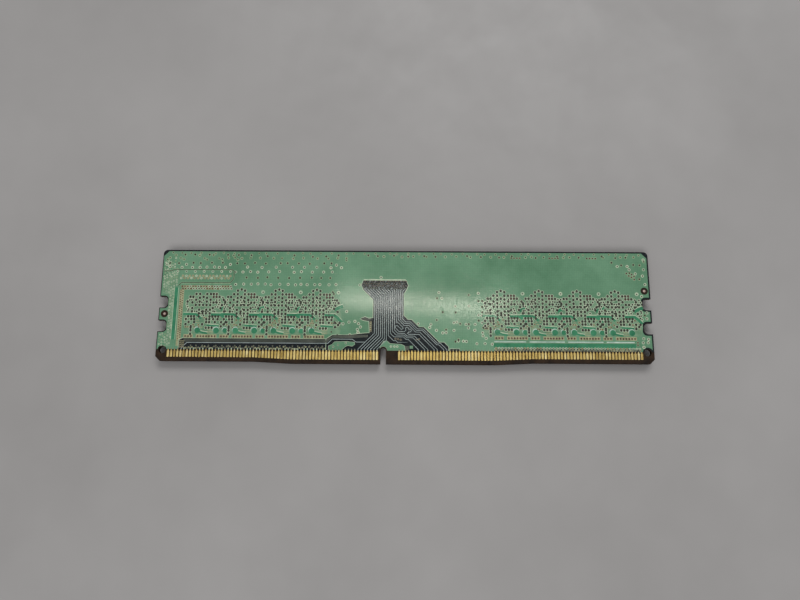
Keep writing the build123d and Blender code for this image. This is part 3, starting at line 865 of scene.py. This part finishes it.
def centre_lines(sheet):
    """The field of lines beside the key, with everything that stands in its bare area."""
    bare_area(sheet, centre_outline())
    sheet.add("pad", rectangle(-9.3, 8.8, -8.8, 11.5))
    for i in range(5):
        sheet.via(-9.05, 9.0 + i * 0.58, "brown_plug", 0.24, 0.18, "pad")
    sheet.add("band", [
        (-21.2, 5.72), (-20.7, 5.8), (-19.4, 6.95), (-13.2, 7.0), (-9.7, 7.3), (-9.7, 7.9), (-19.1, 7.6),
        (-20.9, 6.55),
    ])
    sheet.add("band", [
        (-11.4, 12.15), (-10.5, 12.5), (-9.2, 12.1), (-8.7, 11.9), (-9.2, 11.75), (-10.6, 12.0),
    ])
    path = [(-21.6, 5.5), (-20.5, 5.5), (-19.3, 6.65), (-13.9, 6.65), (-12.9, 5.9), (-10.4, 5.9)]
    sheet.line("track", path, WIDE_LINE)
    bare_area(sheet, rectangle(12.3, MASK_EDGE, 14.8, 4.2))
    key_islands(sheet)
    for path in lane_lines():
        sheet.line("track", path, LINE_WIDTH)
    via_block(sheet)


# ---- The strips between the contacts and the pour ----
def lower_left(sheet):
    """The strip with no pour between the packages and the short side's contacts."""
    bare_area(sheet, [(-60.6, MASK_EDGE), (-20.9, MASK_EDGE), (-20.9, 6.68), (-59.7, 6.68), (-60.6, 6.2)])
    sheet.add("band", [(-59.2, 5.72), (-21.2, 5.72), (-20.9, 6.55), (-59.4, 6.55)])
    for height in (6.0, 6.28):
        sheet.line("bare", [(-59.0, height), (-21.2, height)], 0.05)
    sheet.line("track", [(-59.9, MASK_EDGE), (-59.7, 4.3), (-58.4, 5.5), (-21.6, 5.5)], WIDE_LINE)
    for i in range(12):
        sheet.via(-60.3 + 0.45 * (i % 3), 4.3 + 0.55 * (i // 3), "brown_plug", 0.22, 0.15, "pad")
    for index in range(5, 51):
        x = contact_x(SHORT_SIDE, index)
        sheet.line("rim" if index % 3 else "stub", [(x, MASK_EDGE), (x, 4.15)], 0.26)
        if index % 2:
            lean = RANDOM.choice((-0.25, 0.0, 0.25))
            sheet.line("stub", [(x, 4.0), (x + lean, 4.7)], 0.11)
            sheet.via(x + lean, 4.7, "clearance", 0.2, 0.09, "stub")
        elif RANDOM.random() < 0.5:
            sheet.line("stub", [(x, 4.0), (x + 0.2, 4.4), (x + 0.42, 4.4)], 0.1)
        height = RANDOM.uniform(3.95, 4.5)
        sheet.via(x + 0.42, height, "brown_plug", 0.24, 0.1, RANDOM.choice(("stub", "pad")))


def lower_right(sheet):
    """The long side's band of heavy copper and the tails of its contacts."""
    bare_area(sheet, rectangle(24.3, MASK_EDGE, 62.9, 4.5))
    sheet.add("web", rectangle(24.0, 5.8, 61.9, 6.1))
    sheet.add("thick", rectangle(24.0, 4.62, 61.9, 5.85))
    # Pale strips along the top of the heavy band: a painted highlight of its upper edge.
    for low, high in ((24.2, 32.7), (33.6, 43.0), (43.9, 53.3), (54.2, 61.6)):
        sheet.add("painted_highlight", rectangle(low, 6.08, high, 6.4))
    for index in range(30, 76):
        x = contact_x(LONG_SIDE, index)
        sheet.line("stub", [(x, MASK_EDGE), (x, 4.15)], 0.34)
        if RANDOM.random() < 0.7:
            lean = RANDOM.choice((-0.3, 0.0, 0.3))
            sheet.line("web", [(x, 4.0), (x + lean, 4.5)], 0.13)
        sheet.via(x + 0.4, 4.5, "brown_plug", 0.34, 0.16, RANDOM.choice(("pad", "rim")))
        place = x + RANDOM.uniform(0.25, 0.55)
        sheet.via(place, 4.05, "clearance", 0.27, 0.1, RANDOM.choice(("pad", "stub")))
    for height in (6.2, 5.55):
        sheet.via(62.45, height, "brown_plug", 0.34, 0.24, "land")


STUB_RANGES = ((-HALF_LENGTH, -60.5), (-20.5, -13), (-1.5, 0.3), (12, 24))


def contact_stubs(sheet):
    """Pale tails where contacts run straight into the pour."""
    for row in (SHORT_SIDE, LONG_SIDE):
        for index in range(row[1]):
            x = contact_x(row, index)
            if any(low < x < high for low, high in STUB_RANGES):
                sheet.line("stub", [(x, MASK_EDGE), (x, 4.05)], 0.3)


def cut_openings(sheet, outlines):
    """Cuts these openings and the strip of the contacts out of the sheet."""
    for outline in [*outlines, rectangle(-HALF_LENGTH, 0, HALF_LENGTH, MASK_EDGE)]:
        sheet.plugs.append((None, outline if turned_area(outline) > 0 else outline[::-1]))


def back_layout():
    sheet = Sheet()
    sheet.add("bare", mask_outline())
    sheet.add("pour", pour_outline())
    left_margin(sheet)
    stitching(sheet)
    lower_left(sheet)
    lower_right(sheet)
    for x in CHIP_X:
        package_web(sheet, x)
    for package, x in enumerate(CHIP_X):
        package_field(sheet, x, package > 0, OVAL_COUNTS[package])
        pad_row(sheet, package)
    termination_island(sheet)
    centre_lines(sheet)
    contact_stubs(sheet)
    cut_openings(sheet, [disc(x, height, FIDUCIAL_OPENING, 28) for x, height in FIDUCIALS])
    return sheet


FLOOR_GAP = 0.0002      # the relief's bottom stands this far off what it lies on, in mm
BACK_NODES = ("back_solder_mask", "back_copper_pour")
back_layout().build("back_mask_relief", BACK_NODES, LEVELS, LAMINATE_TOP, FLOOR_GAP)


# ---- The component side's mask: the openings of the CAD's mask, with through vias and short tracks ----
POUR_THICKNESS, LEAST_MASK = 0.035, 0.006
FRONT_LEVELS = {region: max(level, POUR_THICKNESS + LEAST_MASK) for region, level in LEVELS.items()}
FRONT_NODES = ("front_solder_mask",)
ESCAPE_WIDTH, ESCAPE_GAP = 0.14, 0.36
ESCAPES = 5             # tracks on each side of a package's middle


def mask_loops(node):
    """The closed outlines of the outer face of the component side's mask, the longest first, in mm."""
    mesh = bmesh.new()
    mesh.from_mesh(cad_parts[node].data)
    bmesh.ops.remove_doubles(mesh, verts=mesh.verts, dist=0.0005 * MM)
    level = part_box(node)[0].z
    flat = {face for face in mesh.faces if all(abs(vert.co.z - level) < 0.001 * MM for vert in face.verts)}
    rim = [edge for edge in mesh.edges if sum(face in flat for face in edge.link_faces) == 1]
    neighbours = {}
    for edge in rim:
        first, second = edge.verts
        neighbours.setdefault(first, []).append(second)
        neighbours.setdefault(second, []).append(first)
    loops, seen = [], set()
    for start in neighbours:
        loop, here = [], start
        while here is not None and here not in seen:
            seen.add(here)
            loop.append((here.co.x / MM, (here.co.y - EDGE_Y) / MM))
            here = next((vert for vert in neighbours[here] if vert not in seen), None)
        if len(loop) > 2:
            loops.append(loop)
    mesh.free()
    return sorted(loops, key=lambda loop: -abs(turned_area(loop)))


def heights(node):
    """The lowest and highest height of a node above the contact edge, in mm."""
    return [(corner.y - EDGE_Y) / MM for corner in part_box(node)]


def escape_track(sheet, points):
    sheet.line("bare", points, ESCAPE_GAP)
    sheet.line("web", points, ESCAPE_WIDTH)


def front_escapes(sheet, x):
    """Short tracks from the contacts to the series resistors and on to one package."""
    resistors_low, resistors_high = heights("series_resistor_bodies")
    package_low = heights("dram_1_mould")[0]
    for i in range(-ESCAPES, ESCAPES + 1):
        start = x + i * CONTACT_PITCH
        jog = RANDOM.choice((-0.3, 0.0, 0.3))
        end, bend = start + jog, resistors_high + 0.6
        escape_track(sheet, [(start, MASK_EDGE), (start, resistors_low)])
        path = [(start, resistors_high), (start, bend), (end, bend + abs(jog)), (end, package_low)]
        escape_track(sheet, path)
        sheet.via(end, package_low - RANDOM.uniform(0.2, 1.4), "plug", 0.32, 0.13, "land")


def front_layout():
    sheet = Sheet()
    outline, *openings = mask_loops("front_solder_mask")
    sheet.add("pour", outline)
    stitching(sheet)
    for x in CHIP_X:
        front_escapes(sheet, x)
        for height, offsets in PACKAGE_VIAS:
            for offset in offsets:
                sheet.via(x + offset, height, "plug", 0.42, 0.16, "land")
    cut_openings(sheet, openings)
    return sheet


FRONT_FLOOR = POUR_THICKNESS + FLOOR_GAP
front_layout().build("front_mask_relief", FRONT_NODES, FRONT_LEVELS, LAMINATE_BOTTOM, FRONT_FLOOR, -1)


# ---- Edge contacts ----
CONTACT_WIDTH, CONTACT_CORNER, CONTACT_ROUNDING = 0.6, 0.12, 0.022
NECK_WIDTH, NECK_END = 0.28, MASK_EDGE + 0.02


def contact_spans(node):
    """The middle, lowest and highest height of each contact in one of the CAD's rows, in mm."""
    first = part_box(node)[0].x / MM + CONTACT_WIDTH / 2
    spans = {}
    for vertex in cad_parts[node].data.vertices:
        column = round((vertex.co.x / MM - first) / CONTACT_PITCH)
        height = (vertex.co.y - EDGE_Y) / MM
        low, high = spans.get(column, (height, height))
        spans[column] = (min(low, height), max(high, height))
    return [(first + column * CONTACT_PITCH, *spans[column]) for column in sorted(spans)]


def contact_outline(x, low, high):
    """One contact: a flat bar with rounded corners and a narrow neck that runs up under the mask."""
    corner, half, neck = CONTACT_CORNER, CONTACT_WIDTH / 2 - CONTACT_CORNER, NECK_WIDTH / 2
    return [
        *arc(x - half, low + corner, corner, 180, 270, 3),
        *arc(x + half, low + corner, corner, 270, 360, 3),
        *arc(x + half, high - corner, corner, 0, 90, 3),
        (x + neck, high), (x + neck, NECK_END), (x - neck, NECK_END), (x - neck, high),
        *arc(x - half, high - corner, corner, 90, 180, 3),
    ]


def seat_and_face(node):
    """The levels of a thin piece's side on the laminate and of its outer side."""
    low, high = (corner.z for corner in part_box(node))
    return (low, high) if low > BOARD_LOW.z else (high, low)


def stack(mesh, outlines, second=0):
    """A closed solid through outlines at their levels; its first few bands take the second material."""
    rings = [
        [mesh.verts.new((x * MM, EDGE_Y + y * MM, level)) for x, y in outline] for outline, level in outlines
    ]
    mesh.faces.new(rings[0])
    mesh.faces.new(rings[-1])
    for number, (lower, upper) in enumerate(zip(rings, rings[1:])):
        for i in range(len(lower)):
            j = (i + 1) % len(lower)
            mesh.faces.new((lower[i], lower[j], upper[j], upper[i])).material_index = int(number < second)


def gold_contacts(node):
    """A row of contacts with eased edges, in place of the CAD's plain ones."""
    seat, face = seat_and_face(node)
    ease = math.copysign(CONTACT_ROUNDING * MM, face - seat)
    steps = (
        (0, seat), (0, face - ease), (CONTACT_ROUNDING * 0.3, face - ease * 0.3), (CONTACT_ROUNDING, face),
    )
    mesh = bmesh.new()
    for x, low, high in contact_spans(node):
        outline = contact_outline(x, low, high)
        stack(mesh, [(grown(outline, -inset), level) for inset, level in steps])
    stand_in(mesh, f"{node}_plated", [GOLD], [node])


FIDUCIAL_RADIUS, TARNISH_RADIUS = 0.5, 0.33
# The mark's profile: radius, and the share of its thickness above the laminate; its first bands are dull.
MARK_PROFILE = (
    (FIDUCIAL_RADIUS, 0.0), (FIDUCIAL_RADIUS, 0.5), (FIDUCIAL_RADIUS - 0.03, 0.8), (TARNISH_RADIUS, 0.88),
    (0.2, 0.96), (0.08, 1.0),
)
TARNISHED_BANDS = 3
MARK_SIDES = 24
TARNISH = metal_material("tarnished_mark_copper", (28, 18, 14), (62, 42, 32), (0.35, 0.5), 1600, 0.5)


def mark_places(node):
    """The middles of the left and the right mark, in mm."""
    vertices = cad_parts[node].data.vertices
    places = [(vertex.co.x / MM, (vertex.co.y - EDGE_Y) / MM) for vertex in vertices]
    for side in (-1, 1):
        across, up = zip(*[place for place in places if place[0] * side > 0])
        yield (min(across) + max(across)) / 2, (min(up) + max(up)) / 2


def fiducial_marks(node):
    """Round copper marks: a bright low dome in the middle and a tarnished, eased border."""
    seat, face = seat_and_face(node)
    mesh = bmesh.new()
    for x, height in mark_places(node):
        discs = [(disc(x, height, radius, MARK_SIDES), rise) for radius, rise in MARK_PROFILE]
        stack(mesh, [(ring, seat + (face - seat) * rise) for ring, rise in discs], TARNISHED_BANDS)
    stand_in(mesh, f"{node}_domed", [MARK_COPPER, TARNISH], [node])


for board_face in ("back", "front"):
    for side in ("short", "long"):
        gold_contacts(f"{board_face}_contacts_{side}_side")
    fiducial_marks(f"{board_face}_fiducial_marks")


# ---- Materials of the CAD nodes that stay ----
PACKAGES = [f"dram_{number}" for number in range(1, 9)]
CAPACITORS = ["decoupling_capacitor", "bulk_capacitor"]
RESISTORS = ["series_resistor", "termination_resistor"]


def nodes_of(parts, piece):
    return [f"{part}_{piece}" for part in parts]


DRESSED_NODES = (
    (LAMINATE, ["board_core", "back_prepreg", "front_prepreg"]),
    (COPPER, ["inner_ground_plane", "inner_power_plane", "front_copper_pour"]),
    (SILICON, ["dram_dies"]),
    (MOULD, ["eeprom_body", *nodes_of(PACKAGES, "mould")]),
    (SUBSTRATE, nodes_of(PACKAGES, "substrate")),
    (SOLDER, nodes_of(PACKAGES, "solder_balls") + nodes_of(CAPACITORS + RESISTORS, "solder")),
    (TIN, ["eeprom_leads", *nodes_of(CAPACITORS + RESISTORS, "terminals")]),
    (CERAMIC, nodes_of(CAPACITORS, "bodies")),
    (RESISTOR, nodes_of(RESISTORS, "bodies")),
)
for material, nodes in DRESSED_NODES:
    for node in nodes:
        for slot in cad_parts[node].material_slots:
            slot.material = material


# ---- Studio ----
FLOOR_REACH = 1.5
FLOOR_CLEARANCE = 0.00002


def floor():
    kit = Nodes("studio_floor")
    kit.colour(kit.ramp(kit.noise(14, 4), (0.3, srgb(145, 142, 140)), (0.7, srgb(157, 154, 152))))
    kit.roughness(kit.between(kit.noise(60, 3), 0.5, 0.62))
    mesh = bmesh.new()
    level = CAD_BOX[0].z - FLOOR_CLEARANCE
    corners = ((-1, -1), (1, -1), (1, 1), (-1, 1))
    mesh.faces.new([mesh.verts.new((x * FLOOR_REACH, y * FLOOR_REACH, level)) for x, y in corners])
    mesh_object(mesh, "studio_floor", [kit.material])


def area_light(name, place, target, size_x, size_y, power, colour=(1, 1, 1)):
    data = bpy.data.lights.new(name, "AREA")
    data.shape = "RECTANGLE"
    data.size, data.size_y = size_x, size_y
    data.energy = power
    data.color = colour
    lamp = add_object(name, data)
    lamp.location = place
    lamp.rotation_euler = (Vector(target) - Vector(place)).to_track_quat("-Z", "Y").to_euler()


def studio_light():
    """A dim even room, two soft lights out of the mirror's way and a short strip that the mask reflects."""
    world = bpy.data.worlds.new("studio_world")
    world.use_nodes = True
    background = world.node_tree.nodes["Background"]
    background.inputs["Color"].default_value = (0.92, 0.95, 1.0, 1)
    background.inputs["Strength"].default_value = 0.32
    bpy.context.scene.world = world
    warm = (1.0, 0.97, 0.82)
    area_light("overhead_strip", (0.033, 0.195, 1.05), (0.021, 0.0, 0.0), 0.34, 0.02, 0.36, warm)
    area_light("soft_front", (-0.25, -0.75, 0.95), (0, 0, 0), 0.9, 0.5, 6.0)
    area_light("soft_back", (0.2, 0.85, 0.95), (0, 0, 0), 0.9, 0.5, 8.0)
    bpy.context.scene.view_settings.view_transform = "Standard"


# The camera looks down on the back with a little tilt, as on a hand-held shot from the contact side.
VIEW_TILT, VIEW_TURN, VIEW_ROLL = -10.89, -0.528, -0.447
VIEW_TARGET = Vector((-1.17 * MM, 1.826 * MM, MASK_TOP))
VIEW_DISTANCE = 163.03 * MM
LENS, SENSOR = 27.0, 36.0


def camera():
    data = bpy.data.cameras.new("camera")
    data.lens, data.sensor_width = LENS, SENSOR
    data.clip_start, data.clip_end = 0.01, 20
    turn = (
        Matrix.Rotation(math.radians(VIEW_TILT), 3, "X")
        @ Matrix.Rotation(math.radians(VIEW_TURN), 3, "Y")
        @ Matrix.Rotation(math.radians(VIEW_ROLL), 3, "Z")
    ).transposed()
    eye = add_object("camera", data)
    place = VIEW_TARGET + turn @ Vector((0, 0, VIEW_DISTANCE))
    eye.matrix_world = Matrix.Translation(place) @ turn.to_4x4()
    bpy.context.scene.camera = eye


floor()
studio_light()
camera()
